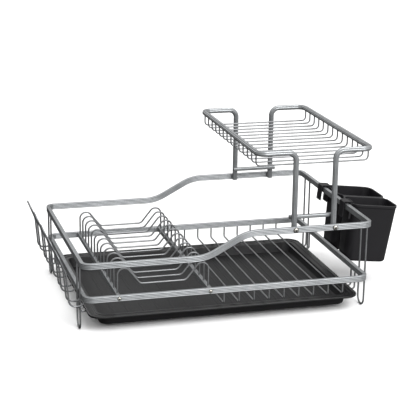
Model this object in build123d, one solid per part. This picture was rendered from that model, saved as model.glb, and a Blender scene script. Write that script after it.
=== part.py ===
from build123d import *
import os

# Dish drying rack: two rounded rectangles of flat tube, welded wires, a bolted upper tier,
# a drip tray that draws out to the front and a utensil holder that hangs on the right end.
# Millimetres. +X runs along the rack from the plates to the utensils, +Y to the back, +Z up.
# The shapes are drawn about the middle of the rack's frame, on the counter, and export_nodes
# moves them so that the origin is under the middle of the whole object.

# Driving dimensions: the two rails
RAIL_WIDTH = 7.0
RAIL_HEIGHT = 10.5
RAIL_EDGE_ROUND = 1.5
CORNER_RADIUS = 14.0
DEPTH = 362.0                       # between the front and back rail centrelines
UPPER_LENGTH = 501.0
LOWER_LENGTH = 493.6                # shorter, so the legs hang outside the lower rail
LOWER_Z = 60.7
UPPER_LOW_Z = 118.8
UPPER_HIGH_Z = 157.3
RISE_START_X = -43.0
RISE_END_X = 29.0
RISE_BEND_RADIUS = 75.0

# Legs
LEG_WIRE = 3.2
LEG_X = 251.95
LEG_Y = 145.5
LEG_WIDTH = 26.0

# Wires of the right-hand floor
FLOOR_WIRE = 2.8
FLOOR_WIRES = 9
FLOOR_FIRST_X = -10.7
FLOOR_PITCH = 26.65
FLOOR_Z = 36.5
FLOOR_BEND = 4.0

# Plate rack
PLATE_BAR_X = (-191.0, -35.0)
PLATE_BAR_WIDTH = 6.0
PLATE_BAR_HEIGHT = 9.0
PLATE_WIRE = 3.0
PLATE_WIRES = 13
PLATE_PITCH = 28.0
PLATE_TOP_Z = 107.0
PLATE_FLOOR_Z = 79.0
PLATE_TOP_RUN = 16.5
PLATE_SLOPE_RUN = 39.0
PLATE_BENDS = (11.0, 10.5, 10.0)

# Glass prongs on the left end
PRONG_WIRE = 3.0
PRONG_Y = (-152.0, -76.0, 0.0, 76.0, 152.0)
PRONG_WIDTH = 27.0
PRONG_FOOT_Z = 46.5
PRONG_OUTER_X = -271.0
PRONG_BEND = (-276.0, 104.0)        # x and z where the prong starts to lean out
PRONG_TIP = (-290.5, 139.5)
PRONG_BENDS = (8.5, 11.0, 40.0, 13.0)

# Hooks that carry the tray's rim
HOOK_WIRE = 3.0
HOOK_Y = 118.0
HOOK_WIDTH = 18.0
HOOK_Z = 22.6
HOOK_TIP_X = 233.0
HOOK_BEND = 5.0

# Upper tier
TIER_TUBE = 9.6
TIER_WALL = 1.2
TIER_LEFT_X = 47.5
TIER_RIGHT_X = 247.5
TIER_LEG_X = (113.0, 183.5)
TIER_Z = 289.3
TIER_BEND = 14.0
TIER_LEG_END_Z = 152.4
TIER_WIRE = 2.6
TIER_WIRES = 14
TIER_WIRE_SPAN = 315.0              # from the first wire to the last
TIER_FLOOR_Z = 266.0
TIER_WIRE_BEND = 7.0
BRACE_X = (107.0, 189.5)
BRACE_WIDTH = 8.0
BRACE_HEIGHT = 6.0
BRACE_Z = 175.0

# Screws: shank diameter, head diameter, head height, shank length, socket width
TIER_SCREW = (4.0, 8.4, 2.4, 14.5, 2.5)
BAR_SCREW = (3.0, 6.0, 1.8, 17.0, 2.0)
SCREW_PLAY = 0.1

# Drip tray
TRAY_LENGTH = 476.0
TRAY_DEPTH = 344.0
TRAY_Y = -6.0
TRAY_BASE_Z = 7.0
TRAY_FLOOR_Z = 9.4
TRAY_FLANGE_Z = 24.5
TRAY_FLANGE = 2.2
TRAY_LIP = 1.4
TRAY_LIP_WIDTH = 3.0
TRAY_BASE_INSET = 20.5
TRAY_WALL_INSET = 16.0
TRAY_WALL = 2.2
TRAY_CORNER = 24.0

# Utensil holder, in its own upright frame: x out from the rail, y along it, z up
HOLDER_TILT = 6.5
HOLDER_X = 259.2                    # inner wall at the rim
HOLDER_RIM_Z = 162.0
HOLDER_DEPTH = 91.0
HOLDER_Y = (-74.0, 67.0)
HOLDER_HEIGHT = 108.0
HOLDER_WALL = 2.0
HOLDER_RIM = 3.0
HOLDER_CUPS_TOP = ((-72.0, -13.0), (-9.0, 65.0))
HOLDER_CUPS_BOTTOM = ((-67.0, -21.0), (1.0, 60.0))
HOLDER_TAPER = 4.5
HOLDER_CORNER = 16.0
HOOK_Y_PLACES = (-56.0, 56.0)
HOOK_PLATE_WIDTH = 20.0
HOOK_PLATE = 2.2
HOOK_PLAY = 0.8                     # between the hook and the rail, above and on the inner side
HOOK_DROP = 28.0                    # length of the hook's lip
HOOK_ROOT = 3.0                     # how far the hook reaches into the cup's wall
HOOK_WEB = 6.0                      # extra height of the hook's root, for its sloping foot


def rail_section():
    """The rail's section, thin in x and tall in y."""
    return RectangleRounded(RAIL_WIDTH, RAIL_HEIGHT, RAIL_EDGE_ROUND)


def round_bar(points, radius, bends):
    """A round bar along straight runs joined by tangent bends."""
    path = FilletPolyline(*points, radius=list(bends))
    return sweep(Plane(origin=path @ 0, z_dir=path % 0) * Circle(radius), path=path)


def screw(size, x, z, side):
    """A button head screw through the front (side -1) or back (side 1) rail."""
    shank, head, head_height, length, socket = size
    dome = Pos(0, 0, head_height / 2) * Cylinder(head / 2, head_height)
    dome = fillet(dome.edges().group_by(Axis.Z)[-1], head_height * 0.7)
    recess = extrude(Pos(0, 0, head_height) * RegularPolygon(socket / 2, 6), amount=-head_height / 2)
    shaft = Pos(0, 0, -length / 2) * Cylinder(shank / 2, length)
    outward = Plane((x, side * (DEPTH + RAIL_WIDTH) / 2, z), z_dir=(0, side, 0))
    return outward * (dome - recess + shaft)


def screw_holes(size, places, y):
    """Cylinders along Y that clear the screws' shanks at the places (x, z)."""
    holes = [Pos(x, y, z) * Rot(90, 0, 0) * Cylinder(size[0] / 2 + SCREW_PLAY, 80) for x, z in places]
    return Part() + holes


def lower_rail():
    """The closed lower loop."""
    ring = RectangleRounded(LOWER_LENGTH, DEPTH, CORNER_RADIUS).wire()
    start = Plane((0, -DEPTH / 2, 0), x_dir=(0, 1, 0), z_dir=(1, 0, 0))
    loop = Pos(0, 0, LOWER_Z) * sweep(start * rail_section(), path=ring)
    places = [(x, LOWER_Z) for x in PLATE_BAR_X]
    for side in (-1, 1):
        loop -= screw_holes(BAR_SCREW, places, side * DEPTH / 2)
    return loop


def rising_run():
    """The straight runs and the S bend of one long side of the upper rail."""
    reach = UPPER_LENGTH / 2 - CORNER_RADIUS
    path = FilletPolyline(
        (-reach, 0, UPPER_LOW_Z),
        (RISE_START_X, 0, UPPER_LOW_Z),
        (RISE_END_X, 0, UPPER_HIGH_Z),
        (reach, 0, UPPER_HIGH_Z),
        radius=RISE_BEND_RADIUS,
    )
    start = Plane(origin=path @ 0, x_dir=(0, 1, 0), z_dir=path % 0)
    return sweep(start * rail_section(), path=path)


def rail_corner(side_x, side_y, z):
    """A quarter turn of rail at one corner of the upper loop."""
    centre = Pos(side_x * (UPPER_LENGTH / 2 - CORNER_RADIUS), side_y * (DEPTH / 2 - CORNER_RADIUS), z)
    upright = Plane.XZ * Pos(CORNER_RADIUS, 0) * rail_section()
    turn = {(1, 1): 0, (-1, 1): 90, (-1, -1): 180, (1, -1): 270}[(side_x, side_y)]
    return centre * Rot(0, 0, turn) * revolve(upright, Axis.Z, 90)


def upper_rail():
    """The closed upper loop, low at the plate end and high at the utensil end."""
    loop = Part()
    for side_y in (-1, 1):
        loop += Pos(0, side_y * DEPTH / 2, 0) * rising_run()
    side = DEPTH - 2 * CORNER_RADIUS
    for side_x, z in ((-1, UPPER_LOW_Z), (1, UPPER_HIGH_Z)):
        start = Plane.XZ.offset(-side / 2) * rail_section()
        loop += Pos(side_x * UPPER_LENGTH / 2, 0, z) * extrude(start, amount=side)
        for side_y in (-1, 1):
            loop += rail_corner(side_x, side_y, z)
    places = [(x, UPPER_HIGH_Z) for x in TIER_LEG_X]
    for side_y in (-1, 1):
        loop -= screw_holes(TIER_SCREW, places, side_y * DEPTH / 2)
    return loop


def leg(side_x, side_y):
    """A hairpin leg, from under the upper rail down to its foot on the counter."""
    top = (UPPER_LOW_Z if side_x < 0 else UPPER_HIGH_Z) - RAIL_HEIGHT / 2
    x = side_x * LEG_X
    near = side_y * LEG_Y - LEG_WIDTH / 2
    far = near + LEG_WIDTH
    foot = LEG_WIRE / 2
    bend = LEG_WIDTH / 2 - 0.1
    points = [(x, near, top), (x, near, foot), (x, far, foot), (x, far, top)]
    return round_bar(points, LEG_WIRE / 2, [bend] * 2)


def floor_wire(index):
    """A front-to-back wire of the right-hand floor, hung from the lower rail."""
    x = FLOOR_FIRST_X + index * FLOOR_PITCH
    top = LOWER_Z - RAIL_HEIGHT / 2
    y = DEPTH / 2
    points = [(x, -y, top), (x, -y, FLOOR_Z), (x, y, FLOOR_Z), (x, y, top)]
    return round_bar(points, FLOOR_WIRE / 2, [FLOOR_BEND] * 2)


def plate_bar(x):
    """A cross bar under the ends of the plate wires."""
    length = DEPTH - RAIL_WIDTH
    outline = RectangleRounded(PLATE_BAR_WIDTH, PLATE_BAR_HEIGHT, RAIL_EDGE_ROUND)
    bar = Pos(x, 0, LOWER_Z) * extrude(Plane.XZ.offset(-length / 2) * outline, amount=length)
    depth = BAR_SCREW[3] - RAIL_WIDTH + 1
    for side in (-1, 1):
        hole = Rot(90, 0, 0) * Cylinder(BAR_SCREW[0] / 2 + SCREW_PLAY, depth)
        bar -= Pos(x, side * (length - depth) / 2, LOWER_Z) * hole
    return bar


def plate_wire(index):
    """A wire with an arch at each end and a flat in the middle, between the two bars."""
    y = (index - (PLATE_WIRES - 1) / 2) * PLATE_PITCH
    left, right = PLATE_BAR_X
    foot = LOWER_Z + PLATE_BAR_HEIGHT / 2
    rise = [
        (left, y, foot),
        (left, y, PLATE_TOP_Z),
        (left + PLATE_TOP_RUN, y, PLATE_TOP_Z),
        (left + PLATE_SLOPE_RUN, y, PLATE_FLOOR_Z),
    ]
    fall = [(left + right - x, y, z) for x, y, z in reversed(rise)]
    return round_bar(rise + fall, PLATE_WIRE / 2, PLATE_BENDS + PLATE_BENDS[::-1])


def glass_prong(centre_y):
    """A leaning hairpin that holds an upturned tumbler off the left end."""
    x = -LOWER_LENGTH / 2
    outline = [
        (x, LOWER_Z - RAIL_HEIGHT / 2),
        (x, PRONG_FOOT_Z),
        (PRONG_OUTER_X, PRONG_FOOT_Z),
        PRONG_BEND,
        PRONG_TIP,
    ]
    front = [(x, centre_y - PRONG_WIDTH / 2, z) for x, z in outline]
    back = [(x, centre_y + PRONG_WIDTH / 2, z) for x, z in reversed(outline)]
    return round_bar(front + back, PRONG_WIRE / 2, PRONG_BENDS + PRONG_BENDS[::-1])


def tray_hooks(side_x):
    """The front and back hairpin hooks of one end, which reach in under the tray's rim."""
    x = side_x * LOWER_LENGTH / 2
    tip = side_x * HOOK_TIP_X
    top = LOWER_Z - RAIL_HEIGHT / 2
    hooks = []
    for side_y in (-1, 1):
        near = side_y * HOOK_Y - HOOK_WIDTH / 2
        far = near + HOOK_WIDTH
        down = [(x, near, top), (x, near, HOOK_Z), (tip, near, HOOK_Z)]
        up = [(x, far, z) for x, y, z in reversed(down)]
        hooks.append(round_bar(down + up, HOOK_WIRE / 2, [HOOK_BEND] * 4))
    return hooks


def tier_tube(rail_x, leg_x):
    """A bent tube of the upper tier: front leg, front run, side rail, back run, back leg."""
    y = (DEPTH - RAIL_WIDTH - TIER_TUBE) / 2
    front = [(leg_x, -y, TIER_LEG_END_Z), (leg_x, -y, TIER_Z), (rail_x, -y, TIER_Z)]
    back = [(x, -y, z) for x, y, z in reversed(front)]
    tube = round_bar(front + back, TIER_TUBE / 2, [TIER_BEND] * 4)
    tube -= round_bar(front + back, TIER_TUBE / 2 - TIER_WALL, [TIER_BEND] * 4)
    for side in (-1, 1):
        tube -= screw_holes(TIER_SCREW, [(leg_x, UPPER_HIGH_Z)], side * y)
    return tube


def tier_brace(side_y):
    """A flat brace across the inner sides of two tier legs."""
    length = BRACE_X[1] - BRACE_X[0]
    y = (DEPTH - RAIL_WIDTH) / 2 - TIER_TUBE - BRACE_WIDTH / 2
    bar = extrude(Plane.YZ * RectangleRounded(BRACE_WIDTH, BRACE_HEIGHT, RAIL_EDGE_ROUND), amount=length)
    return Pos(BRACE_X[0], side_y * y, BRACE_Z) * bar


def tier_wire(index):
    """A U-shaped wire hung between the tier's two side rails."""
    y = (index / (TIER_WIRES - 1) - 0.5) * TIER_WIRE_SPAN
    top = TIER_Z - TIER_TUBE / 2
    points = [
        (TIER_LEFT_X, y, top),
        (TIER_LEFT_X, y, TIER_FLOOR_Z),
        (TIER_RIGHT_X, y, TIER_FLOOR_Z),
        (TIER_RIGHT_X, y, top),
    ]
    return round_bar(points, TIER_WIRE / 2, [TIER_WIRE_BEND] * 2)


def tray_layer(inset, z):
    """A rounded rectangle of the tray, brought in from its rim by the inset."""
    length = TRAY_LENGTH - 2 * inset
    depth = TRAY_DEPTH - 2 * inset
    return Pos(0, TRAY_Y, z) * RectangleRounded(length, depth, TRAY_CORNER - inset / 2)


def drip_tray():
    """The tray: a flat base, drafted walls and a flange with a raised lip."""
    top = TRAY_FLANGE_Z + TRAY_FLANGE
    shell = loft([tray_layer(TRAY_BASE_INSET, TRAY_BASE_Z), tray_layer(TRAY_WALL_INSET, TRAY_FLANGE_Z)])
    shell += extrude(tray_layer(0, TRAY_FLANGE_Z), amount=TRAY_FLANGE)
    lip = extrude(tray_layer(0, top), amount=TRAY_LIP)
    lip -= extrude(tray_layer(TRAY_LIP_WIDTH, top), amount=TRAY_LIP)
    hollow = loft([
        tray_layer(TRAY_BASE_INSET + TRAY_WALL, TRAY_FLOOR_Z),
        tray_layer(TRAY_WALL_INSET + TRAY_WALL, top),
    ])
    return shell + lip - hollow


def holder_cup(top_y, bottom_y, grow, floor, ceiling):
    """A tapered cup, or with a negative grow the hollow inside it."""
    layers = []
    for (low, high), z, inset in ((bottom_y, floor, HOLDER_TAPER), (top_y, ceiling, 0.0)):
        depth = HOLDER_DEPTH - 2 * inset + 2 * grow
        width = high - low + 2 * grow
        outline = RectangleRounded(depth, width, HOLDER_CORNER + grow)
        layers.append(Pos(HOLDER_DEPTH / 2, (low + high) / 2, z) * outline)
    return loft(layers)


def holder_hook(y):
    """A hook over the upper rail: a lip inside the rail, a top, and a root in the cup's wall."""
    rail_inner = UPPER_LENGTH / 2 - RAIL_WIDTH / 2 - HOLDER_X
    rail_outer = UPPER_LENGTH / 2 + RAIL_WIDTH / 2 - HOLDER_X
    room_top = UPPER_HIGH_Z + RAIL_HEIGHT / 2 - HOLDER_RIM_Z + HOOK_PLAY
    room_bottom = room_top - HOOK_DROP
    lip = rail_inner - HOOK_PLAY
    wall = rail_outer + 2 * HOOK_PLAY
    top = room_top + HOOK_PLATE
    outline = Polyline(
        (HOOK_ROOT, top),
        (lip - HOOK_PLATE, top),
        (lip - HOOK_PLATE, room_bottom),
        (lip, room_bottom),
        (lip, room_top),
        (wall, room_top),
        (wall, room_bottom),
        (HOOK_ROOT, room_bottom - HOOK_WEB),
        close=True,
    )
    profile = Plane.XZ * make_face(outline)
    return Pos(0, y + HOOK_PLATE_WIDTH / 2, 0) * extrude(profile, amount=HOOK_PLATE_WIDTH)


def utensil_holder():
    """Two cups joined at the rim, with two hooks, tilted so that the foot rests on the lower rail."""
    low, high = HOLDER_Y
    rim = Pos(HOLDER_DEPTH / 2, (low + high) / 2, -HOLDER_RIM)
    body = rim * extrude(RectangleRounded(HOLDER_DEPTH, high - low, HOLDER_CORNER), amount=HOLDER_RIM)
    cups = list(zip(HOLDER_CUPS_TOP, HOLDER_CUPS_BOTTOM))
    for top_y, bottom_y in cups:
        body += holder_cup(top_y, bottom_y, 0, -HOLDER_HEIGHT, 0)
    for y in HOOK_Y_PLACES:
        body += holder_hook(y)
    for top_y, bottom_y in cups:
        body -= holder_cup(top_y, bottom_y, -HOLDER_WALL, HOLDER_WALL - HOLDER_HEIGHT, 0)
    return Pos(HOLDER_X, 0, HOLDER_RIM_Z) * Rot(0, HOLDER_TILT, 0) * body


def numbered(name, shapes):
    """Nodes of like pieces, numbered from 01."""
    return {f"{name}_{count:02d}": shape for count, shape in enumerate(shapes, 1)}


def build_nodes():
    """Every piece of the rack by its node's name."""
    nodes = {"lower_rail": lower_rail(), "upper_rail": upper_rail()}
    sides = (("front", -1), ("back", 1))
    ends = (("left", -1), ("right", 1))
    for side, side_y in sides:
        for end, side_x in ends:
            nodes[f"leg_{side}_{end}"] = leg(side_x, side_y)
        nodes[f"tier_brace_{side}"] = tier_brace(side_y)
    for (end, side_x), bar_x in zip(ends, PLATE_BAR_X):
        nodes[f"plate_bar_{end}"] = plate_bar(bar_x)
        nodes[f"tray_hooks_{end}"] = Compound(tray_hooks(side_x))
    nodes["tier_tube_left"] = tier_tube(TIER_LEFT_X, TIER_LEG_X[0])
    nodes["tier_tube_right"] = tier_tube(TIER_RIGHT_X, TIER_LEG_X[1])
    nodes |= numbered("floor_wire", [floor_wire(index) for index in range(FLOOR_WIRES)])
    nodes |= numbered("plate_wire", [plate_wire(index) for index in range(PLATE_WIRES)])
    nodes |= numbered("tier_wire", [tier_wire(index) for index in range(TIER_WIRES)])
    nodes |= numbered("glass_prong", [glass_prong(y) for y in PRONG_Y])
    tier_places = [(x, side) for x in TIER_LEG_X for side in (-1, 1)]
    nodes["tier_screws"] = Compound([screw(TIER_SCREW, x, UPPER_HIGH_Z, side) for x, side in tier_places])
    bar_places = [(x, side) for x in PLATE_BAR_X for side in (-1, 1)]
    nodes["plate_bar_screws"] = Compound([screw(BAR_SCREW, x, LOWER_Z, side) for x, side in bar_places])
    nodes["drip_tray"] = drip_tray()
    nodes["utensil_holder"] = utensil_holder()
    return nodes


def export_nodes(nodes):
    """Write one STEP file per node, with the origin under the middle of the whole object."""
    os.makedirs("parts", exist_ok=True)
    boxes = [shape.bounding_box() for shape in nodes.values()]
    middle = (min(box.min.X for box in boxes) + max(box.max.X for box in boxes)) / 2
    print("the rack's frame is centred on x =", round(-middle, 3))
    for name, shape in nodes.items():
        export_step(Pos(-middle, 0, 0) * shape, f"parts/{name}.step")


export_nodes(build_nodes())
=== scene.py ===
"""A dish drying rack: ribbed aluminium loops, wires, an upper tier, a tray and a cutlery holder."""

import math

import bpy
import numpy as np
from bpy.props import FloatProperty, FloatVectorProperty, IntProperty, PointerProperty
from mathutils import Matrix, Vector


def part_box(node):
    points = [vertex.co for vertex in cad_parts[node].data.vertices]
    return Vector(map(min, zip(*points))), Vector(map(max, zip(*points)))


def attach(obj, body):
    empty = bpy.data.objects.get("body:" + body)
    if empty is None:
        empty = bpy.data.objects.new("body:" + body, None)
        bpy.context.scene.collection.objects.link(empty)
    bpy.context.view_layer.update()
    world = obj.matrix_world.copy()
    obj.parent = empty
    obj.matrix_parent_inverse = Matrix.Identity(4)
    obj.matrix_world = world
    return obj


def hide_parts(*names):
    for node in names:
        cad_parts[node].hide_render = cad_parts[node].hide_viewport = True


bl_info = {
    "name": "Dish drying rack",
    "version": (1, 0, 0),
    "blender": (4, 5, 0),
    "location": "View3D > Sidebar > Dish Rack",
    "description": "Builds the finished surfaces of a dish drying rack around its CAD frame",
    "category": "Add Mesh",
}

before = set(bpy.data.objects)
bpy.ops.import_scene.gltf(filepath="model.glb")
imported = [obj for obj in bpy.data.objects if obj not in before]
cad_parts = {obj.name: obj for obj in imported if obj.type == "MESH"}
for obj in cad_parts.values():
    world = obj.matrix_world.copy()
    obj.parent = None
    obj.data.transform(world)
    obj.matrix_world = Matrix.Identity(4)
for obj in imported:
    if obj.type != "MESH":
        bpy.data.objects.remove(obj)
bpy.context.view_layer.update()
MM = 0.001

# A weld bead's half sizes, in radii of its wire.
WELD_BEAD = np.array([1.45, 1.45, 0.75])

# The middle half of a noise pattern, which its shades and sheen are stretched over.
PATTERN_LOW = 0.3
PATTERN_HIGH = 0.7


# Reading the frame


def limits(node):
    """The lowest and highest corners of a CAD node as two numpy arrays, in metres."""
    low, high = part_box(node)
    return np.array(low), np.array(high)


def nodes_named(prefix):
    """The names of the CAD nodes that start with the prefix, in order."""
    return sorted(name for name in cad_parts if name.startswith(prefix))


LOOP_MIDDLE = (limits("lower_rail")[0] + limits("lower_rail")[1]) / 2


# Geometry


def unit(vector):
    """The vector divided by its length."""
    return vector / np.linalg.norm(vector)


def turned(vector, axis, angles):
    """The vector turned about a unit axis by each angle: v cos a + (k x v) sin a + k (k.v)(1 - cos a)."""
    cosines = np.cos(angles)[:, None]
    sines = np.sin(angles)[:, None]
    return vector * cosines + np.cross(axis, vector) * sines + axis * np.dot(axis, vector) * (1 - cosines)


def route(corners, radii, normal, closed=False, arc_step=math.radians(7)):
    """Stations along straight runs joined by tangent arcs: their places, tangents and normals.

    At a corner between the unit runs a and b the arc turns about a x b. Its centre line is
    start + r (sin t a + (1 - cos t) (a x b) x a), and the normal is carried round by the same turn.
    """
    corners = np.array(corners, float)
    count = len(corners)
    bends = range(count) if closed else range(1, count - 1)
    places, tangents, normals = [], [], []
    if closed:
        normal = np.array(normal, float)
    else:
        first = unit(corners[1] - corners[0])
        normal = unit(np.array(normal, float) - np.dot(normal, first) * first)
        places.append(corners[:1])
        tangents.append(first[None, :])
        normals.append(normal[None, :])
    for index, radius in zip(bends, radii):
        before = unit(corners[index] - corners[index - 1])
        after = unit(corners[(index + 1) % count] - corners[index])
        axis = unit(np.cross(before, after))
        turn = math.acos(np.clip(np.dot(before, after), -1, 1))
        start = corners[index] - before * radius * math.tan(turn / 2)
        angles = np.linspace(0, turn, max(4, math.ceil(turn / arc_step) + 1))
        inward = np.cross(axis, before)
        arc = start + radius * (np.sin(angles)[:, None] * before + (1 - np.cos(angles))[:, None] * inward)
        places.append(arc)
        tangents.append(turned(before, axis, angles))
        normals.append(turned(normal, axis, angles))
        normal = normals[-1][-1]
    if not closed:
        last = unit(corners[-1] - corners[-2])
        places.append(corners[-1:])
        tangents.append(last[None, :])
        normals.append(normal[None, :])
    return np.concatenate(places), np.concatenate(tangents), np.concatenate(normals)


def spread(places, tangents, normals, closed, longest=0.02):
    """The same stations with more put in where two of them are further apart than the longest step."""
    if closed:
        rows = (places, tangents, normals)
        places, tangents, normals = (np.concatenate([row, row[:1]]) for row in rows)
    gaps = np.linalg.norm(np.diff(places, axis=0), axis=1)
    at = np.concatenate([[0], np.cumsum(gaps)])
    steps = [max(1, math.ceil(gap / longest)) for gap in gaps]
    wanted = [np.linspace(at[i], at[i + 1], count + 1)[:-1] for i, count in enumerate(steps)]
    stations = np.concatenate(wanted + ([] if closed else [at[-1:]]))
    rows = (places, tangents, normals)
    return [np.stack([np.interp(stations, at, row[:, k]) for k in range(3)], axis=1) for row in rows]


def circle(radius, count=16, ribs=0, rib_depth=0.0):
    """A circle's points, counter-clockwise: radius less half a cosine wave per rib."""
    angles = np.linspace(0, 2 * math.pi, count, endpoint=False)
    reach = radius - rib_depth * (0.5 - 0.5 * np.cos(ribs * angles))
    return np.stack([reach * np.cos(angles), reach * np.sin(angles)], axis=1)


def rounded_rectangle(width, height, radius, per_corner=6):
    """A rectangle's points with quarter circles at its corners, counter-clockwise."""
    quarter = np.linspace(0, math.pi / 2, per_corner)
    parts = []
    for index, (side_x, side_y) in enumerate(((1, -1), (1, 1), (-1, 1), (-1, -1))):
        angles = quarter + math.pi / 2 * (index - 1)
        centre = np.array([side_x * (width / 2 - radius), side_y * (height / 2 - radius)])
        parts.append(centre + radius * np.stack([np.cos(angles), np.sin(angles)], axis=1))
    return np.concatenate(parts)


def ribbed_rectangle(width, height, radius, pitch, depth, per_rib=6):
    """A rounded rectangle whose flat sides carry lengthwise ribs.

    Each side is divided into whole ribs, and its points go inwards by depth times
    the square of a sine wave along it, so the ribs stand at the side's own level.
    """
    corners = rounded_rectangle(width, height, radius).reshape(4, -1, 2)
    parts = []
    for index in range(4):
        start = corners[index][-1]
        end = corners[(index + 1) % 4][0]
        length = np.linalg.norm(end - start)
        ribs = max(1, round(length / pitch))
        share = np.linspace(0, 1, ribs * per_rib + 1)[1:-1, None]
        inward = np.array([-(end - start)[1], (end - start)[0]]) / length
        groove = depth * np.sin(math.pi * ribs * share) ** 2
        parts += [corners[index], start + (end - start) * share + inward * groove]
    return np.concatenate(parts)


def grid_faces(rows, columns, closed_rows, closed_columns):
    """The quads of a grid of points, row after row, joined up where it is closed."""
    across = np.arange(columns if closed_columns else columns - 1)
    along = np.arange(rows if closed_rows else rows - 1)
    row, column = np.meshgrid(along, across, indexing="ij")
    next_row = (row + 1) % rows
    next_column = (column + 1) % columns
    near = [row * columns + column, row * columns + next_column]
    far = [next_row * columns + next_column, next_row * columns + column]
    return np.stack(near + far, axis=-1).reshape(-1, 4)


class Surface:
    """Points, faces and UVs in metres, gathered from several shapes and made one mesh at the end."""

    def __init__(self):
        self.points = []
        self.faces = []
        self.uvs = []
        self.count = 0

    def add(self, points, faces, uvs):
        """Add a shape: its points, its faces as lists of point numbers, and a UV for each face corner."""
        self.faces += [[number + self.count for number in face] for face in faces]
        self.points.append(points)
        self.uvs.append(uvs)
        self.count += len(points)

    def grid(self, points, closed_rows=False, closed_columns=True, caps=True):
        """Add a grid of points as quads. Open ends are capped. The UVs are distances along and around."""
        rows, columns = points.shape[:2]
        quads = grid_faces(rows, columns, closed_rows, closed_columns)
        down = np.linalg.norm(np.diff(points, axis=0, append=points[:1]), axis=2).mean(axis=1)
        across = np.linalg.norm(np.diff(points, axis=1, append=points[:, :1]), axis=2).mean(axis=0)
        along = np.concatenate([[0], np.cumsum(down)])
        around = np.concatenate([[0], np.cumsum(across)])
        row, column = np.divmod(quads[:, 0], columns)
        run = along[np.stack([row, row, row + 1, row + 1], axis=1)]
        turn = around[np.stack([column, column + 1, column + 1, column], axis=1)]
        uvs = np.stack([run, turn], axis=-1).reshape(-1, 2)
        faces = quads.tolist()
        if caps and not closed_rows and closed_columns:
            first = list(range(columns))[::-1]
            last = list(range((rows - 1) * columns, rows * columns))
            faces += [first, last]
            uvs = np.concatenate([uvs, np.zeros((2 * columns, 2))])
        self.add(points.reshape(-1, 3), faces, uvs)

    def bar(self, path, profile, closed=False):
        """Add a bar: place + x normal + y (tangent x normal) for each of the profile's points x, y."""
        places, tangents, normals = spread(*path, closed)
        normals = normals / np.linalg.norm(normals, axis=1)[:, None]
        sideways = np.cross(tangents, normals)
        sideways = sideways / np.linalg.norm(sideways, axis=1)[:, None]
        out = profile[None, :, :1] * normals[:, None]
        points = places[:, None] + out + profile[None, :, 1:] * sideways[:, None]
        self.grid(points, closed_rows=closed)

    def bead(self, centre, radii, rows=8, columns=12):
        """Add a weld bead: an ellipsoid, centre + radii times (cos a cos b, sin a cos b, sin b)."""
        b = np.linspace(-math.pi / 2, math.pi / 2, rows + 2)[1:-1]
        a = np.linspace(0, 2 * math.pi, columns, endpoint=False)
        b, a = np.meshgrid(b, a, indexing="ij")
        ball = np.stack([np.cos(a) * np.cos(b), np.sin(a) * np.cos(b), np.sin(b)], axis=-1)
        self.grid(np.array(centre) + np.array(radii) * ball)

    def finish(self, name, material, body, *replaced, sharp=38.0):
        """Make the mesh object, give it its material, and let it ride on its body."""
        mesh = bpy.data.meshes.new(name)
        mesh.from_pydata(np.concatenate(self.points).tolist(), [], self.faces)
        layer = mesh.uv_layers.new(name="run")
        layer.data.foreach_set("uv", np.concatenate(self.uvs).astype(np.float32).ravel())
        mesh.validate()
        mesh.shade_smooth()
        mesh.set_sharp_from_angle(angle=math.radians(sharp))
        mesh.materials.append(material)
        piece = bpy.data.objects.new(name, mesh)
        bpy.context.scene.collection.objects.link(piece)
        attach(piece, body)
        if replaced:
            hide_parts(*replaced)
        return piece


# Materials


class Finish:
    """A node material with a Principled shader, and short ways to add its pattern nodes."""

    def __init__(self, name, slot):
        self.material = bpy.data.materials.new(name)
        self.material.use_nodes = True
        self.material["slot"] = slot
        self.tree = self.material.node_tree
        self.shader = self.tree.nodes["Principled BSDF"]

    def node(self, kind, **inputs):
        """A node of the kind, with its inputs linked or set by name."""
        node = self.tree.nodes.new(kind)
        for name, value in inputs.items():
            self.put(node, name.replace("_", " "), value)
        return node

    def put(self, node, name, value):
        """Link or set one input of a node."""
        if isinstance(value, bpy.types.NodeSocket):
            self.tree.links.new(value, node.inputs[name])
        else:
            node.inputs[name].default_value = value

    def place(self, output, scale):
        """A texture coordinate output, stretched by the scale."""
        source = self.tree.nodes.new("ShaderNodeTexCoord").outputs[output]
        return self.node("ShaderNodeMapping", Vector=source, Scale=scale).outputs["Vector"]

    def noise(self, where, detail=3.0, roughness=0.55):
        """A noise pattern at unit scale."""
        values = {"Scale": 1.0, "Detail": detail, "Roughness": roughness}
        return self.node("ShaderNodeTexNoise", Vector=where, **values).outputs["Fac"]

    def stretch(self, value, value_range, result_range):
        """A value carried in proportion from one range to another, and held at its ends."""
        names = ("From_Min", "From_Max", "To_Min", "To_Max")
        ends = dict(zip(names, (*value_range, *result_range)))
        return self.node("ShaderNodeMapRange", Value=value, **ends).outputs["Result"]

    def sheen(self, pattern, smooth, rough):
        """The middle half of a pattern stretched over two roughnesses."""
        return self.stretch(pattern, (PATTERN_LOW, PATTERN_HIGH), (smooth, rough))

    def shades(self, value, colour, darker, lighter):
        """The colour mixed between a darker and a lighter shade of itself by a pattern."""
        ramp = self.tree.nodes.new("ShaderNodeValToRGB")
        places = (PATTERN_LOW, PATTERN_HIGH)
        for stop, place, share in zip(ramp.color_ramp.elements, places, (darker, lighter)):
            stop.position = place
            stop.color = [min(1.0, part * share) for part in colour] + [1.0]
        self.tree.links.new(value, ramp.inputs["Fac"])
        return ramp.outputs["Color"]

    def bump(self, height, strength, distance, under=None):
        """A bump of the pattern's height, over another one if given."""
        node = self.node("ShaderNodeBump", Height=height, Strength=strength, Distance=distance)
        if under is not None:
            self.put(node, "Normal", under)
        return node.outputs["Normal"]


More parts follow.
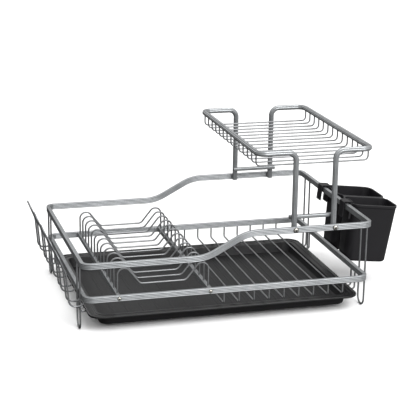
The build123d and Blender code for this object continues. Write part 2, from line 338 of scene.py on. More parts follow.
def drawn_metal(name, slot, colour, metallic, roughness):
    """Satin metal with fine streaks along its length and a soft cloudiness."""
    finish = Finish(name, slot)
    streaks = finish.noise(finish.place("UV", (45.0, 5200.0, 1.0)))
    clouds = finish.noise(finish.place("Object", (28.0, 28.0, 28.0)))
    grit = finish.noise(finish.place("Object", (2600.0, 2600.0, 2600.0)), 2.0)
    finish.put(finish.shader, "Base Color", finish.shades(clouds, colour, 0.86, 1.1))
    finish.put(finish.shader, "Metallic", metallic)
    finish.put(finish.shader, "Roughness", finish.sheen(streaks, roughness - 0.06, roughness + 0.08))
    grain = finish.bump(grit, 0.12, 0.00004)
    finish.put(finish.shader, "Normal", finish.bump(streaks, 0.16, 0.00005, grain))
    return finish.material


def moulded_plastic(name, slot, colour, grain, smooth, rough, grain_depth, polished=None):
    """Black moulded plastic with a fine spark-eroded grain and a soft cloudiness in its colour.

    The roughness is clouded too, or where two heights are given in polished, it falls from rough at
    the lower one to smooth at the upper one.
    """
    finish = Finish(name, slot)
    fine = finish.noise(finish.place("Object", (grain, grain, grain)), 4.0, 0.6)
    clouds = finish.noise(finish.place("Object", (16.0, 16.0, 16.0)))
    finish.put(finish.shader, "Base Color", finish.shades(clouds, colour, 0.85, 1.2))
    if polished is None:
        sheen = finish.sheen(clouds, smooth, rough)
    else:
        where = finish.place("Object", (1.0, 1.0, 1.0))
        height = finish.node("ShaderNodeSeparateXYZ", Vector=where).outputs["Z"]
        sheen = finish.stretch(height, polished, (rough, smooth))
    finish.put(finish.shader, "Roughness", sheen)
    finish.put(finish.shader, "Specular IOR Level", 0.32)
    finish.put(finish.shader, "Normal", finish.bump(fine, 0.5, grain_depth))
    return finish.material


def matte_paper(name, colour):
    """The floor's even, matte surface."""
    finish = Finish(name, "stage")
    fibre = finish.noise(finish.place("Object", (300.0, 300.0, 300.0)))
    finish.put(finish.shader, "Base Color", finish.shades(fibre, colour, 0.995, 1.0))
    finish.put(finish.shader, "Roughness", 0.9)
    finish.put(finish.shader, "Specular IOR Level", 0.1)
    return finish.material


def finish_of(name):
    """The named material, made at its first use from the colours in the scene's settings."""
    if name in bpy.data.materials:
        return bpy.data.materials[name]
    colours = bpy.context.scene.dish_rack_finishes
    if name == "satin_aluminium":
        return drawn_metal(name, "rail_aluminium", colours.rail, metallic=0.72, roughness=0.3)
    if name == "coated_wire":
        return drawn_metal(name, "wire_steel", colours.wire, metallic=0.8, roughness=0.3)
    if name == "screw_steel_bright":
        return drawn_metal(name, "screw_steel", colours.screw, metallic=0.95, roughness=0.25)
    # Near-black: painted shade for the screws' socket recesses, and the colour of the thin dark rings
    # round the heads.
    if name == "painted_socket_shade_and_rings":
        return drawn_metal(name, "screw_steel", colours.socket_shade, metallic=0.5, roughness=0.5)
    if name == "tray_black":
        top = limits("drip_tray")[1][2]
        sizes = {"grain": 2100.0, "smooth": 0.16, "rough": 0.5, "grain_depth": 0.00012}
        rim = (top - 4 * MM, top)
        return moulded_plastic(name, "tray_plastic", colours.tray, **sizes, polished=rim)
    if name == "holder_black":
        sizes = {"grain": 3200.0, "smooth": 0.34, "rough": 0.44, "grain_depth": 0.00004}
        return moulded_plastic(name, "holder_plastic", colours.holder, **sizes)
    raise ValueError(f"there is no finish named {name}")


# Settings


def length(name, description, default_mm):
    """A length property whose default is given in millimetres."""
    return FloatProperty(name=name, description=description, default=default_mm * MM, min=0.0,
                         subtype="DISTANCE", unit="LENGTH", precision=4)


def angle(name, description, degrees):
    """An angle property whose default is given in degrees."""
    return FloatProperty(name=name, description=description, default=math.radians(degrees),
                         subtype="ANGLE", unit="ROTATION")


def amount(name, description, default, unit="NONE"):
    """A plain number, or one in the unit given."""
    return FloatProperty(name=name, description=description, default=default, unit=unit)


def colour(name, description, *default):
    """A linear colour property."""
    return FloatVectorProperty(name=name, description=description, default=default, size=3,
                               min=0.0, max=1.0, subtype="COLOR")


class RackFinishes(bpy.types.PropertyGroup):
    """The colours of the rack's materials."""

    rail: colour("Rails", "Satin aluminium of the loops, bars and tier tubes", 0.27, 0.28, 0.287)
    wire: colour("Wires", "Coated steel of the wires", 0.21, 0.214, 0.22)
    screw: colour("Screws", "Bright steel of the screw heads", 0.62, 0.6, 0.55)
    # Near-black: painted shade in the screws' sockets, and the colour of the thin dark ring round each
    # head.
    socket_shade: colour("Sockets", "Dark recess and washer of the screws", 0.02, 0.02, 0.02)
    tray: colour("Tray", "Black plastic of the drip tray", 0.006, 0.006, 0.0065)
    holder: colour("Holder", "Black plastic of the cutlery holder", 0.008, 0.0075, 0.009)
    floor: colour("Floor", "Pale floor under the rack", 0.93, 0.93, 0.93)


class RackRails(bpy.types.PropertyGroup):
    """The bend and rib sizes of the loops, bars and tier tubes."""

    width: length("Rail width", "Thickness of the loops' flat tube", 7.0)
    edge: length("Edge radius", "Rounding of the rail's edges", 1.5)
    corner: length("Corner radius", "Bend of the loops at their corners", 14.0)
    rib_pitch: length("Rib pitch", "Distance between the lengthwise ribs", 2.6)
    rib_depth: length("Rib depth", "Depth of the grooves between the ribs", 0.55)
    rise_start: length("Rise start", "How far left of the middle the upper loop starts to rise", 43.0)
    rise_end: length("Rise end", "How far right of the middle the upper loop levels out", 29.0)
    rise_bend: length("Rise bend", "Radius of the two bends of the rise", 75.0)
    tube_bend: length("Tube bend", "Radius of the tier tubes' bends", 14.0)
    tube_ribs: IntProperty(name="Tube ribs", description="Ribs round a tier tube", default=12, min=0)


class RackWires(bpy.types.PropertyGroup):
    """The bend sizes of the wires."""

    floor_bend: length("Floor bend", "Bend of the floor wires", 4.0)
    tier_bend: length("Tier bend", "Bend of the tier wires", 7.0)
    hook_bend: length("Hook bend", "Bends of the tray hooks", 5.0)
    hook_width: length("Hook width", "Between the two wires of a tray hook", 18.0)
    hook_wire: length("Hook wire", "Diameter of the tray hooks' wire", 3.0)
    plate_floor: length("Plate floor", "Height of the low middle of the plate wires", 79.0)
    plate_top_run: length("Plate top run", "Length of the flat top of a plate arch", 16.5)
    plate_slope_run: length("Plate slope run", "From a plate arch's foot to the low middle", 39.0)
    prong_wire: length("Prong wire", "Diameter of the glass prongs' wire", 3.0)
    prong_reach: length("Prong reach", "How far a prong stands off its rail before it leans", 24.2)
    prong_knee: length("Prong knee", "How far off its rail a prong starts to lean out", 29.2)
    prong_knee_height: length("Prong knee height", "Height where a prong starts to lean out", 104.0)
    prong_tip: length("Prong tip", "How far off its rail a prong's tip is", 43.7)


class RackPlastics(bpy.types.PropertyGroup):
    """The moulding sizes of the tray and the cutlery holder."""

    flange: length("Tray flange", "Width of the tray's flange", 16.0)
    wall: length("Tray wall", "Thickness of the tray", 2.2)
    lip: length("Tray lip", "Width of the raised lip round the flange", 3.0)
    lip_height: length("Lip height", "Height of the lip over the flange", 1.4)
    base_inset: length("Base inset", "From the tray's rim to the foot of its outer wall", 20.5)
    corner: length("Tray corner", "Corner radius of the tray's rim", 24.0)
    rib_pitch: length("Tray rib pitch", "Distance between the tray floor's ribs", 26.65)
    rib_height: length("Tray rib height", "Height of the tray floor's ribs", 0.45)
    tilt: angle("Holder tilt", "Lean of the holder away from its rail", 6.5)
    rim_x: length("Holder gap", "From the upper loop's centre line to the holder's inner rim", 8.7)
    rim_height: length("Holder rim height", "Height of the holder's inner rim over the counter", 162.0)
    depth: length("Holder depth", "From the holder's inner to its outer wall, at the rim", 91.0)
    height: length("Holder height", "Height of the holder's cups", 108.0)
    cup_wall: length("Cup wall", "Thickness of the cups' walls", 2.0)
    taper: length("Cup taper", "How far a cup's inner and outer walls draw in towards its foot", 4.5)
    cup_corner: length("Cup corner", "Corner radius of the cups", 16.0)
    divider: length("Divider", "From the holder's front end to the divider between its cups", 63.0)
    hook_width: length("Hook width", "Width of the holder's hooks", 20.0)
    hook_plate: length("Hook plate", "Thickness of the holder's hooks", 2.2)
    hook_reach: length("Hook reach", "How far the hooks reach in over the rail", 15.2)
    hook_top: length("Hook top", "Height of the hooks over the holder's rim", 3.5)
    hook_drop: length("Hook drop", "How far the hooks' lips reach down", 30.0)
    front_hook: length("Front hook", "From the holder's front end to the middle of its front hook", 18.0)
    back_hook: length("Back hook", "From the holder's back end to the middle of its back hook", 11.0)


class RackStage(bpy.types.PropertyGroup):
    """The camera's place and the lights."""

    azimuth: angle("Azimuth", "Camera's turn about the vertical from straight in front", -15.69)
    elevation: angle("Elevation", "Camera's height as an angle", 17.26)
    roll: angle("Roll", "Camera's roll", -0.78)
    distance: amount("Distance", "From the camera to the rack's middle", 2.404, "LENGTH")
    aim_height: amount("Aim height", "Height that the camera looks at", 0.107, "LENGTH")
    lens: amount("Lens", "Focal length on a 36 mm sensor", 115.7, "CAMERA")
    shift_x: amount("Shift X", "Sideways shift of the picture", 0.0147)
    shift_y: amount("Shift Y", "Upward shift of the picture", 0.0572)
    key: amount("Key light", "Power of the large light over the front right", 44.0, "POWER")
    front: amount("Front light", "Power of the light low in front", 5.0, "POWER")
    rim: amount("Rim light", "Power of the light behind the rack", 9.0, "POWER")
    sky: amount("Sky", "Brightness of the surround above and in front", 1.5)
    dark: amount("Dark side", "Brightness of the surround below and behind", 0.06)


# Pieces


def ribbed_section(width, height, settings):
    """The ribbed section of a loop or bar."""
    return ribbed_rectangle(width, height, settings.edge, settings.rib_pitch, settings.rib_depth)


class RACK_OT_lower_loop(bpy.types.Operator):
    """Sweep the lower loop's ribbed section round its rounded rectangle"""

    bl_idname = "dish_rack.lower_loop"
    bl_label = "Lower loop"

    def execute(self, context):
        settings = context.scene.dish_rack_rails
        low, high = limits("lower_rail")
        half = settings.width / 2
        x0, y0 = low[:2] + half
        x1, y1 = high[:2] - half
        z = (low[2] + high[2]) / 2
        corners = [(x0, y0, z), (x1, y0, z), (x1, y1, z), (x0, y1, z)]
        path = route(corners, [settings.corner] * 4, (1, 0, 0), closed=True)
        surface = Surface()
        surface.bar(path, ribbed_section(settings.width, high[2] - low[2], settings), closed=True)
        surface.finish("lower_loop", finish_of("satin_aluminium"), "rack", "lower_rail")
        return {"FINISHED"}


class RACK_OT_upper_loop(bpy.types.Operator):
    """Sweep the upper loop's ribbed section round its corners and through its two rises"""

    bl_idname = "dish_rack.upper_loop"
    bl_label = "Upper loop"

    def execute(self, context):
        settings = context.scene.dish_rack_rails
        low, high = limits("upper_rail")
        half = settings.width / 2
        tall = limits("lower_rail")[1][2] - limits("lower_rail")[0][2]
        x0, y0 = low[:2] + half
        x1, y1 = high[:2] - half
        z0 = low[2] + tall / 2
        z1 = high[2] - tall / 2
        start = LOOP_MIDDLE[0] - settings.rise_start
        end = LOOP_MIDDLE[0] + settings.rise_end
        corners = [(x0, y0, z0), (start, y0, z0), (end, y0, z1), (x1, y0, z1)]
        corners += [(x1, y1, z1), (end, y1, z1), (start, y1, z0), (x0, y1, z0)]
        turn, rise = settings.corner, settings.rise_bend
        path = route(corners, [turn, rise, rise, turn, turn, rise, rise, turn], (1, 0, 0), closed=True)
        surface = Surface()
        surface.bar(path, ribbed_section(settings.width, tall, settings), closed=True)
        surface.finish("upper_loop", finish_of("satin_aluminium"), "rack", "upper_rail")
        return {"FINISHED"}


class RACK_OT_plate_bars(bpy.types.Operator):
    """Sweep the two ribbed cross bars under the plate wires"""

    bl_idname = "dish_rack.plate_bars"
    bl_label = "Plate bars"

    def execute(self, context):
        settings = context.scene.dish_rack_rails
        for node in nodes_named("plate_bar_"):
            if node == "plate_bar_screws":
                continue
            low, high = limits(node)
            middle = (low + high) / 2
            ends = [(middle[0], low[1], middle[2]), (middle[0], high[1], middle[2])]
            section = ribbed_section(high[0] - low[0], high[2] - low[2], settings)
            surface = Surface()
            surface.bar(route(ends, [], (1, 0, 0)), section)
            surface.finish(node + "_ribbed", finish_of("satin_aluminium"), "rack", node)
        return {"FINISHED"}


class RACK_OT_tier_frame(bpy.types.Operator):
    """Sweep the two bent tubes of the upper tier and the braces between their legs"""

    bl_idname = "dish_rack.tier_frame"
    bl_label = "Tier frame"

    def execute(self, context):
        settings = context.scene.dish_rack_rails
        top = limits("tier_wire_01")[1][2]
        for node, rail_side in (("tier_tube_left", 0), ("tier_tube_right", 1)):
            low, high = limits(node)
            radius = (high[2] - top) / 2
            box = (low + radius, high - radius)
            rail_x = box[rail_side][0]
            leg_x = box[1 - rail_side][0]
            y0, y1, z = box[0][1], box[1][1], box[1][2]
            corners = [(leg_x, y0, low[2]), (leg_x, y0, z), (rail_x, y0, z)]
            corners += [(rail_x, y1, z), (leg_x, y1, z), (leg_x, y1, low[2])]
            surface = Surface()
            section = circle(radius, settings.tube_ribs * 6, settings.tube_ribs, settings.rib_depth)
            surface.bar(route(corners, [settings.tube_bend] * 4, (1, 0, 0)), section)
            surface.finish(node + "_ribbed", finish_of("satin_aluminium"), "rack", node)
        for node in nodes_named("tier_brace_"):
            self.brace(node, settings)
        return {"FINISHED"}

    def brace(self, node, settings):
        """A flat bar with softly rounded edges, and a weld bead where each leg crosses it."""
        low, high = limits(node)
        middle = (low + high) / 2
        section = rounded_rectangle(high[2] - low[2], high[1] - low[1], settings.edge)
        surface = Surface()
        surface.bar(route([(low[0], *middle[1:]), (high[0], *middle[1:])], [], (0, 0, 1)), section)
        outside = high[1] if middle[1] > 0 else low[1]
        for x in (low[0] + 4 * settings.edge, high[0] - 4 * settings.edge):
            surface.bead((x, outside, high[2] - settings.edge), (3.2 * MM, 1.4 * MM, 1.2 * MM))
        surface.finish(node + "_bar", finish_of("satin_aluminium"), "rack", node)


def wire(node, corners, bends, radius, normal):
    """One wire with round section and a weld bead at each end, in place of its CAD node."""
    surface = Surface()
    surface.bar(route(corners, bends, normal), circle(radius))
    for end in (corners[0], corners[-1]):
        surface.bead(end, WELD_BEAD * radius)
    surface.finish(node + "_wire", finish_of("coated_wire"), "rack", node)


class RACK_OT_legs(bpy.types.Operator):
    """Bend the four hairpin legs"""

    bl_idname = "dish_rack.legs"
    bl_label = "Legs"

    def execute(self, context):
        for node in nodes_named("leg_"):
            low, high = limits(node)
            radius = (high[0] - low[0]) / 2
            x = low[0] + radius
            y0, y1 = low[1] + radius, high[1] - radius
            z = low[2] + radius
            corners = [(x, y0, high[2]), (x, y0, z), (x, y1, z), (x, y1, high[2])]
            just_under_half = (y1 - y0) / 2 * 0.995
            wire(node, corners, [just_under_half] * 2, radius, (1, 0, 0))
        return {"FINISHED"}


class RACK_OT_floor_wires(bpy.types.Operator):
    """Bend the front-to-back wires of the dish floor"""

    bl_idname = "dish_rack.floor_wires"
    bl_label = "Floor wires"

    def execute(self, context):
        bend = context.scene.dish_rack_wires.floor_bend
        for node in nodes_named("floor_wire_"):
            low, high = limits(node)
            radius = (high[0] - low[0]) / 2
            x, z = low[0] + radius, low[2] + radius
            y0, y1 = low[1] + radius, high[1] - radius
            corners = [(x, y0, high[2]), (x, y0, z), (x, y1, z), (x, y1, high[2])]
            wire(node, corners, [bend] * 2, radius, (1, 0, 0))
        return {"FINISHED"}


class RACK_OT_tier_wires(bpy.types.Operator):
    """Bend the U-shaped wires of the upper tier"""

    bl_idname = "dish_rack.tier_wires"
    bl_label = "Tier wires"

    def execute(self, context):
        bend = context.scene.dish_rack_wires.tier_bend
        for node in nodes_named("tier_wire_"):
            low, high = limits(node)
            radius = (high[1] - low[1]) / 2
            y, z = low[1] + radius, low[2] + radius
            x0, x1 = low[0] + radius, high[0] - radius
            corners = [(x0, y, high[2]), (x0, y, z), (x1, y, z), (x1, y, high[2])]
            wire(node, corners, [bend] * 2, radius, (0, 1, 0))
        return {"FINISHED"}


class RACK_OT_plate_wires(bpy.types.Operator):
    """Bend the plate wires, with an arch at each end and a low middle"""

    bl_idname = "dish_rack.plate_wires"
    bl_label = "Plate wires"
    bends = (11.0 * MM, 10.5 * MM, 10.0 * MM)

    def execute(self, context):
        sizes = context.scene.dish_rack_wires
        for node in nodes_named("plate_wire_"):
            low, high = limits(node)
            radius = (high[1] - low[1]) / 2
            y, top = low[1] + radius, high[2] - radius
            x0, x1 = low[0] + radius, high[0] - radius
            rise = [(x0, y, low[2]), (x0, y, top), (x0 + sizes.plate_top_run, y, top)]
            rise.append((x0 + sizes.plate_slope_run, y, sizes.plate_floor))
            fall = [(x0 + x1 - x, y, z) for x, y, z in rise[::-1]]
            wire(node, rise + fall, self.bends + self.bends[::-1], radius, (0, 1, 0))
        return {"FINISHED"}


class RACK_OT_glass_prongs(bpy.types.Operator):
    """Bend the leaning hairpins that hold tumblers off the left end"""

    bl_idname = "dish_rack.glass_prongs"
    bl_label = "Glass prongs"
    bends = (8.5 * MM, 11.0 * MM, 40.0 * MM, 13.0 * MM)

    def execute(self, context):
        sizes = context.scene.dish_rack_wires
        radius = sizes.prong_wire / 2
        for node in nodes_named("glass_prong_"):
            low, high = limits(node)
            x = high[0] - radius
            y0, y1 = low[1] + radius, high[1] - radius
            foot = low[2] + radius
            outline = [(x, limits("lower_rail")[0][2]), (x, foot), (x - sizes.prong_reach, foot)]
            outline.append((x - sizes.prong_knee, sizes.prong_knee_height))
            outline.append((x - sizes.prong_tip, high[2] - radius))
            corners = [(a, y0, z) for a, z in outline] + [(a, y1, z) for a, z in outline[::-1]]
            wire(node, corners, self.bends + self.bends[::-1], radius, (0, 1, 0))
        return {"FINISHED"}


class RACK_OT_tray_hooks(bpy.types.Operator):
    """Bend the small hairpins that carry the tray's rim"""

    bl_idname = "dish_rack.tray_hooks"
    bl_label = "Tray hooks"

    def execute(self, context):
        sizes = context.scene.dish_rack_wires
        radius = sizes.hook_wire / 2
        for node, root_side in (("tray_hooks_left", 0), ("tray_hooks_right", 1)):
            low, high = limits(node)
            inner, outer = low + radius, high - radius
            root_x = (inner, outer)[root_side][0]
            tip_x = (inner, outer)[1 - root_side][0]
            surface = Surface()
            for y0 in (inner[1], outer[1] - sizes.hook_width):
                y1 = y0 + sizes.hook_width
                corners = [(root_x, y0, high[2]), (root_x, y0, inner[2]), (tip_x, y0, inner[2])]
                corners += [(x, y1, z) for x, y, z in corners[::-1]]
                surface.bar(route(corners, [sizes.hook_bend] * 4, (0, 1, 0)), circle(radius))
                for y in (y0, y1):
                    surface.bead((root_x, y, high[2]), WELD_BEAD * radius)
            surface.finish(node + "_wire", finish_of("coated_wire"), "rack", node)
        return {"FINISHED"}


def screw_head(surface, socket_shade, place, outward, radius, height):
    """A domed head with a dark bead in its socket: painted shade where the socket's recess would be.

    The dome stands at height (1 - 0.96 s^2)^0.4, where s is the share of the radius from the axis. Its
    rings turn from circles into hexagons near the socket: cos(30 deg) / cos(the angle off a flat).
    """
    angles = np.linspace(0, 2 * math.pi, 48, endpoint=False)
    spans = np.concatenate([np.linspace(1.0, 0.42, 9), [0.4]])
    rise = np.sqrt(np.clip(1 - spans ** 2 * 0.96, 0, 1)) ** 0.8
    off_flat = np.mod(angles, math.pi / 3) - math.pi / 6
    hexagon = np.cos(math.pi / 6) / np.cos(off_flat)
    round_share = np.clip((spans - 0.38) / 0.12, 0, 1)[:, None]
    reach = radius * spans[:, None] * (round_share + (1 - round_share) * hexagon[None, :])
    level = height * np.broadcast_to(rise[:, None], reach.shape)
    reach = np.concatenate([reach[:1], reach])
    level = np.concatenate([np.zeros((1, len(angles))), level])
    x = place[0] + reach * np.cos(angles)
    z = place[2] + reach * np.sin(angles)
    y = place[1] + outward * level
    points = np.stack([x, y, z], axis=-1)
    if outward > 0:
        points = points[:, ::-1]
    surface.grid(points)
    # A near-black bead poking through the capped top: painted shade standing in for the socket's recess.
    centre = (place[0], place[1] + outward * height * 0.9, place[2])
    socket_shade.bead(centre, (radius * 0.5, height * 0.1, radius * 0.5))


class RACK_OT_screws(bpy.types.Operator):
    """Turn the domed heads of the screws, the painted shade in their sockets and a thin dark ring round
    each head
    """

    bl_idname = "dish_rack.screws"
    bl_label = "Screws"

    def execute(self, context):
        for node in ("tier_screws", "plate_bar_screws"):
            low, high = limits(node)
            rail_y = limits("upper_rail")[1][1]
            radius = (high[2] - low[2]) / 2
            height = high[1] - rail_y
            heads, socket_shade_and_rings = Surface(), Surface()
            for x in (low[0] + radius, high[0] - radius):
                for side in (-1, 1):
                    place = (x, side * (rail_y + 0.1 * MM), low[2] + radius)
                    screw_head(heads, socket_shade_and_rings, place, side, radius * 0.92, height * 0.95)
                    # A thin, flat dark ring round the foot of each head.
                    socket_shade_and_rings.bead((x, side * rail_y, place[2]), (radius * 1.16, 0.5 * MM, radius * 1.16))
            heads.finish(node + "_heads", finish_of("screw_steel_bright"), "rack", node)
            socket_shade_and_rings.finish(node + "_sockets", finish_of("painted_socket_shade_and_rings"), "rack")
        return {"FINISHED"}


def ring(x0, x1, y0, y1, radius, count):
    """A rounded rectangle's points by its limits, with the same number of points at any size."""
    outline = rounded_rectangle(x1 - x0, y1 - y0, radius, count)
    return outline + np.array([(x0 + x1) / 2, (y0 + y1) / 2])


class RACK_OT_tray(bpy.types.Operator):
    """Mould the drip tray: drafted walls, a stepped flange with a lip, and ribs along its floor"""

    bl_idname = "dish_rack.tray"
    bl_label = "Drip tray"
    bends = (2.4, 1.2, 0.9, 1.1, 1.1, 0.7, 0.25, 0.25, 0.25, 0.25, 1.2, 2.4)
    rib_half = 1.7 * MM

    def execute(self, context):
        sizes = context.scene.dish_rack_plastics
        low, high = limits("drip_tray")
        top, wall = high[2] - sizes.lip_height, sizes.wall
        under = top - wall
        inner_foot = sizes.base_inset + wall
        floor = low[2] + wall + 0.2 * MM
        inside = sizes.flange + wall
        centre = 60 * MM
        groove = top - 0.8 * MM
        # The section goes from under the base, out round the lip and down to the tray's floor.
        outline = [(centre, low[2]), (sizes.base_inset, low[2])]
        outline += [(sizes.flange, under), (0, under), (0, high[2])]
        outline += [(sizes.lip, high[2]), (sizes.lip + 1.2 * MM, top)]
        outline += [(9.0 * MM, top), (9.6 * MM, groove), (13.4 * MM, groove), (14.0 * MM, top)]
        outline += [(inside, top), (inner_foot, floor), (centre, floor)]
        corners = [(inset, 0, z) for inset, z in outline]
        bends = [bend * MM for bend in self.bends]
        section = route(corners, bends, (0, 1, 0), arc_step=math.radians(15))[0]
        rings = [self.layer(low, high, inset, z, sizes) for inset, _, z in section]
        surface = Surface()
        surface.grid(np.stack(rings)[:, ::-1])
        self.ribs(surface, low, high, inner_foot, floor, sizes)
        material = finish_of("tray_black")
        surface.finish("drip_tray_moulding", material, "drip_tray", "drip_tray", sharp=50.0)
        return {"FINISHED"}

    def layer(self, low, high, inset, z, sizes):
        """The tray's outline drawn in by the inset, at a height. Its corners tighten half as fast."""
        radius = max(sizes.corner - inset / 2, 4 * MM)
        flat = ring(low[0] + inset, high[0] - inset, low[1] + inset, high[1] - inset, radius, 14)
        return np.column_stack([flat, np.full(len(flat), z)])

    def ribs(self, surface, low, high, inner_foot, floor, sizes):
        """Low half-round ribs from front to back across the tray's floor, evenly spaced."""
        angles = np.linspace(0, math.pi, 9)
        dome = np.stack([-self.rib_half * np.cos(angles), sizes.rib_height * np.sin(angles)], axis=1)
        sunk = [[self.rib_half, -0.6 * MM], [-self.rib_half, -0.6 * MM]]
        section = np.concatenate([dome, sunk]) * np.array([-1, 1])
        reach = (high[0] - low[0]) / 2 - inner_foot - 8 * MM
        count = int(reach // sizes.rib_pitch)
        middle = (low[0] + high[0]) / 2
        front, back = low[1] + inner_foot + 9 * MM, high[1] - inner_foot - 9 * MM
        for x in middle + sizes.rib_pitch * np.arange(-count, count + 1):
            surface.bar(route([(x, back, floor), (x, front, floor)], [], (1, 0, 0)), section)


class RACK_OT_holder(bpy.types.Operator):
    """Mould the cutlery holder: two tapered cups with a rolled rim, and two hooks over the rail"""

    bl_idname = "dish_rack.holder"
    bl_label = "Cutlery holder"
    bends = (4.0, 0.4, 0.4, 0.9, 0.9, 0.3, 4.0)
    hook_edge = 0.8 * MM

    def execute(self, context):
        sizes = context.scene.dish_rack_plastics
        low, high = limits("utensil_holder")
        surface = Surface()
        # Each cup's limits across the holder, at the rim and at the foot.
        y0, y1 = low[1], high[1]
        divider = y0 + sizes.divider
        gap, end_draft, front_draft, back_draft = 1 * MM, 7 * MM, 10 * MM, 12 * MM
        rim = ((y0, divider - gap), (divider + gap, y1))
        foot = ((y0 + end_draft, divider - front_draft), (divider + back_draft, y1 - end_draft))
        for (rim_a, rim_b), (foot_a, foot_b) in zip(rim, foot):
            self.cup(surface, rim_a, rim_b, foot_a, foot_b, sizes)
        bridge = rounded_rectangle(2.8 * MM, 8 * MM, 1.2 * MM)
        inset, below = 5 * MM, -1.6 * MM
        ends = [(inset, divider, below), (sizes.depth - inset, divider, below)]
        surface.bar(route(ends, [], (0, 0, 1)), bridge)
        for y in (y0 + sizes.front_hook, y1 - sizes.back_hook):
            self.hook(surface, y, sizes)
        rail_x = limits("upper_rail")[1][0] - context.scene.dish_rack_rails.width / 2
        surface.points = [self.tilted(points, rail_x, sizes) for points in surface.points]
        material = finish_of("holder_black")
        surface.finish("utensil_holder_moulding", material, "utensil_holder", "utensil_holder", sharp=40.0)
        return {"FINISHED"}

    def tilted(self, points, rail_x, sizes):
        """The holder's own upright frame put in its place: turned about Y, then moved to the rim."""
        c, s = math.cos(sizes.tilt), math.sin(sizes.tilt)
        turn = np.array([[c, 0, s], [0, 1, 0], [-s, 0, c]])
        return points @ turn.T + np.array([rail_x + sizes.rim_x, 0, sizes.rim_height])

    def cup(self, surface, rim_a, rim_b, foot_a, foot_b, sizes):
        """One cup: its section from under the foot, up the outside, over the rim and down the inside.

        Each ring is a rounded rectangle between the foot's and the rim's limits, in proportion to its
        height, drawn in by the section's own inset.
        """
        wall, tall = sizes.cup_wall, sizes.height
        middle, groove, inner = 14 * MM, 0.9 * MM, wall + 0.9 * MM
        corners = [(middle, 0, -tall), (0, 0, -tall), (groove, 0, -6 * MM), (0, 0, -5 * MM)]
        corners += [(0, 0, 0), (inner, 0, 0)]
        # This corner stands a hair to one side, because a straight run has no bend of its own.
        corners.append((inner, 0.05 * MM, -1.2 * MM))
        corners += [(inner, 0, wall - tall), (middle, 0, wall - tall)]
        bends = [bend * MM for bend in self.bends]
        section = route(corners, bends, (0, 1, 0), arc_step=math.radians(15))[0]
        rings = []
        for inset, _, z in section:
            share = np.clip(-z / tall, 0, 1)
            a = rim_a + (foot_a - rim_a) * share + inset
            b = rim_b + (foot_b - rim_b) * share - inset
            near = sizes.taper * share + inset
            radius = max(sizes.cup_corner - inset, 3 * MM)
            flat = ring(near, sizes.depth - near, a, b, min(radius, (b - a) / 2.05), 10)
            rings.append(np.column_stack([flat, np.full(len(flat), z)]))
        surface.grid(np.stack(rings)[:, ::-1])

    def hook(self, surface, y, sizes):
        """A hook: a plate bent over the rail, and a thicker root down the cup's wall."""
        plate, drop = sizes.hook_plate, sizes.hook_drop
        lip = -sizes.hook_reach + plate / 2
        top = sizes.hook_top - plate / 2
        over = [(lip, y, sizes.hook_top - drop), (lip, y, top), (plate / 2, y, top)]
        thin = rounded_rectangle(plate, sizes.hook_width, self.hook_edge)
        surface.bar(route(over, [plate], (1, 0, 0)), thin)
        root = [(0, y, sizes.hook_top - drop - plate), (0, y, sizes.hook_top)]
        thick = rounded_rectangle(2 * plate, sizes.hook_width, self.hook_edge)
        surface.bar(route(root, [], (1, 0, 0)), thick)


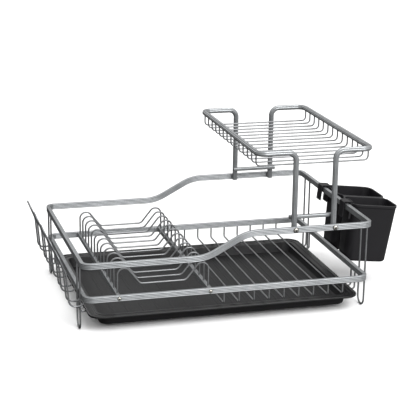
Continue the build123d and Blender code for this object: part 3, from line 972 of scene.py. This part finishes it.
class RACK_OT_stage(bpy.types.Operator):
    """Set up the pale floor, the soft lights and the camera"""

    bl_idname = "dish_rack.stage"
    bl_label = "Stage"

    def execute(self, context):
        stage = context.scene.dish_rack_stage
        self.floor(context)
        self.surround(context, stage)
        self.light("key_light", (0.8, -1.7, 2.3), 1.6, stage.key)
        self.light("front_light", (0.35, -1.15, 0.75), 0.8, stage.front)
        self.light("rim_light", (-0.5, 2.1, 1.5), 1.5, stage.rim)
        self.camera(context, stage)
        return {"FINISHED"}

    def floor(self, context):
        """A wide flat sheet under the feet: x and y are the two parameters, from -16 to 16 metres.

        The rack doesn't reflect it, so that the dark plastic and the metal keep their contrast.
        """
        steps = np.linspace(-16, 16, 9)
        across, along = np.meshgrid(steps, steps, indexing="ij")
        points = np.stack([across, along, np.zeros_like(across)], axis=-1).reshape(-1, 3)
        mesh = bpy.data.meshes.new("floor")
        mesh.from_pydata(points.tolist(), [], grid_faces(9, 9, False, False)[:, ::-1].tolist())
        mesh.materials.append(matte_paper("pale_floor", context.scene.dish_rack_finishes.floor))
        sheet = bpy.data.objects.new("floor", mesh)
        context.scene.collection.objects.link(sheet)
        sheet.visible_glossy = False
        sheet.visible_diffuse = False

    def surround(self, context, stage):
        """A surround that lights the rack from above and in front and stays dim below and to the left.

        Looked at directly it is plain white, so that no dark sky shows over the floor's edge.
        """
        world = bpy.data.worlds.new("surround")
        world.use_nodes = True
        tree = world.node_tree
        direction = tree.nodes.new("ShaderNodeTexCoord").outputs["Generated"]
        towards = tree.nodes.new("ShaderNodeVectorMath")
        towards.operation = "DOT_PRODUCT"
        towards.inputs[1].default_value = (0.25, -0.45, 0.85)
        level = tree.nodes.new("ShaderNodeMapRange")
        ends = {"From Min": -0.5, "From Max": 0.9, "To Min": stage.dark, "To Max": stage.sky}
        for name, value in ends.items():
            level.inputs[name].default_value = value
        seen = tree.nodes.new("ShaderNodeMix")
        seen.inputs["B"].default_value = 1.0
        tree.links.new(direction, towards.inputs[0])
        tree.links.new(towards.outputs["Value"], level.inputs["Value"])
        straight = tree.nodes.new("ShaderNodeLightPath").outputs["Is Camera Ray"]
        tree.links.new(straight, seen.inputs["Factor"])
        tree.links.new(level.outputs["Result"], seen.inputs["A"])
        tree.links.new(seen.outputs["Result"], tree.nodes["Background"].inputs["Strength"])
        tree.nodes["Background"].inputs["Color"].default_value = (1.0, 1.0, 1.0, 1.0)
        context.scene.world = world
        context.scene.view_settings.view_transform = "Standard"
        context.scene.view_settings.look = "None"

    def light(self, name, place, size, power):
        """A square soft light that faces the rack's middle."""
        lamp = bpy.data.lights.new(name, "AREA")
        lamp.shape = "SQUARE"
        lamp.size = size
        lamp.energy = power
        holder = bpy.data.objects.new(name, lamp)
        bpy.context.scene.collection.objects.link(holder)
        back = unit(np.array(place) - np.array([0, 0, 0.1]))
        right = unit(np.cross((0, 0, 1), back))
        holder.matrix_world = pose(right, np.cross(back, right), back, place)

    def camera(self, context, stage):
        """The camera: turned to the left of the front, raised and rolled, aimed at the loops' middle."""
        a, e, r = stage.azimuth, stage.elevation, stage.roll
        back = np.array([math.sin(a) * math.cos(e), -math.cos(a) * math.cos(e), math.sin(e)])
        level = unit(np.cross((0, 0, 1), back))
        upright = np.cross(back, level)
        right = math.cos(r) * level - math.sin(r) * upright
        up = math.sin(r) * level + math.cos(r) * upright
        place = np.array([LOOP_MIDDLE[0], 0, stage.aim_height]) + back * stage.distance
        data = bpy.data.cameras.new("camera")
        data.lens = stage.lens
        data.sensor_width = 36.0
        data.shift_x = stage.shift_x
        data.shift_y = stage.shift_y
        camera = bpy.data.objects.new("camera", data)
        camera.matrix_world = pose(right, up, back, place)
        context.scene.collection.objects.link(camera)
        context.scene.camera = camera


def pose(right, up, back, place):
    """A Blender matrix from three axes and a place."""
    matrix = np.eye(4)
    matrix[:3, :4] = np.column_stack([right, up, back, place])
    return [tuple(column) for column in matrix.T]


class RACK_PT_panel(bpy.types.Panel):
    """The rack's pieces and settings in the sidebar"""

    bl_idname = "RACK_PT_panel"
    bl_label = "Dish Rack"
    bl_space_type = "VIEW_3D"
    bl_region_type = "UI"
    bl_category = "Dish Rack"

    def draw(self, context):
        column = self.layout.column(align=True)
        for operator in OPERATORS:
            column.operator(operator.bl_idname)
        for group in SETTINGS:
            box = self.layout.box()
            for name in SETTINGS[group].__annotations__:
                box.prop(getattr(context.scene, group), name)


SETTINGS = {
    "dish_rack_finishes": RackFinishes,
    "dish_rack_rails": RackRails,
    "dish_rack_wires": RackWires,
    "dish_rack_plastics": RackPlastics,
    "dish_rack_stage": RackStage,
}
OPERATORS = [
    RACK_OT_stage, RACK_OT_lower_loop, RACK_OT_upper_loop, RACK_OT_plate_bars, RACK_OT_tier_frame,
    RACK_OT_legs, RACK_OT_floor_wires, RACK_OT_tier_wires, RACK_OT_plate_wires, RACK_OT_glass_prongs,
    RACK_OT_tray_hooks, RACK_OT_screws, RACK_OT_tray, RACK_OT_holder,
]


def register():
    """Register the classes and hang the settings on the scene."""
    for kind in [*SETTINGS.values(), *OPERATORS, RACK_PT_panel]:
        bpy.utils.register_class(kind)
    for group, kind in SETTINGS.items():
        setattr(bpy.types.Scene, group, PointerProperty(type=kind))


def unregister():
    """Take the settings and classes away again."""
    for group in SETTINGS:
        delattr(bpy.types.Scene, group)
    for kind in [RACK_PT_panel, *OPERATORS[::-1], *SETTINGS.values()]:
        bpy.utils.unregister_class(kind)


def main():
    """Build every piece."""
    register()
    bpy.ops.dish_rack.stage()
    bpy.ops.dish_rack.lower_loop()
    bpy.ops.dish_rack.upper_loop()
    bpy.ops.dish_rack.plate_bars()
    bpy.ops.dish_rack.tier_frame()
    bpy.ops.dish_rack.legs()
    bpy.ops.dish_rack.floor_wires()
    bpy.ops.dish_rack.tier_wires()
    bpy.ops.dish_rack.plate_wires()
    bpy.ops.dish_rack.glass_prongs()
    bpy.ops.dish_rack.tray_hooks()
    bpy.ops.dish_rack.screws()
    bpy.ops.dish_rack.tray()
    bpy.ops.dish_rack.holder()


if __name__ == "__main__":
    main()
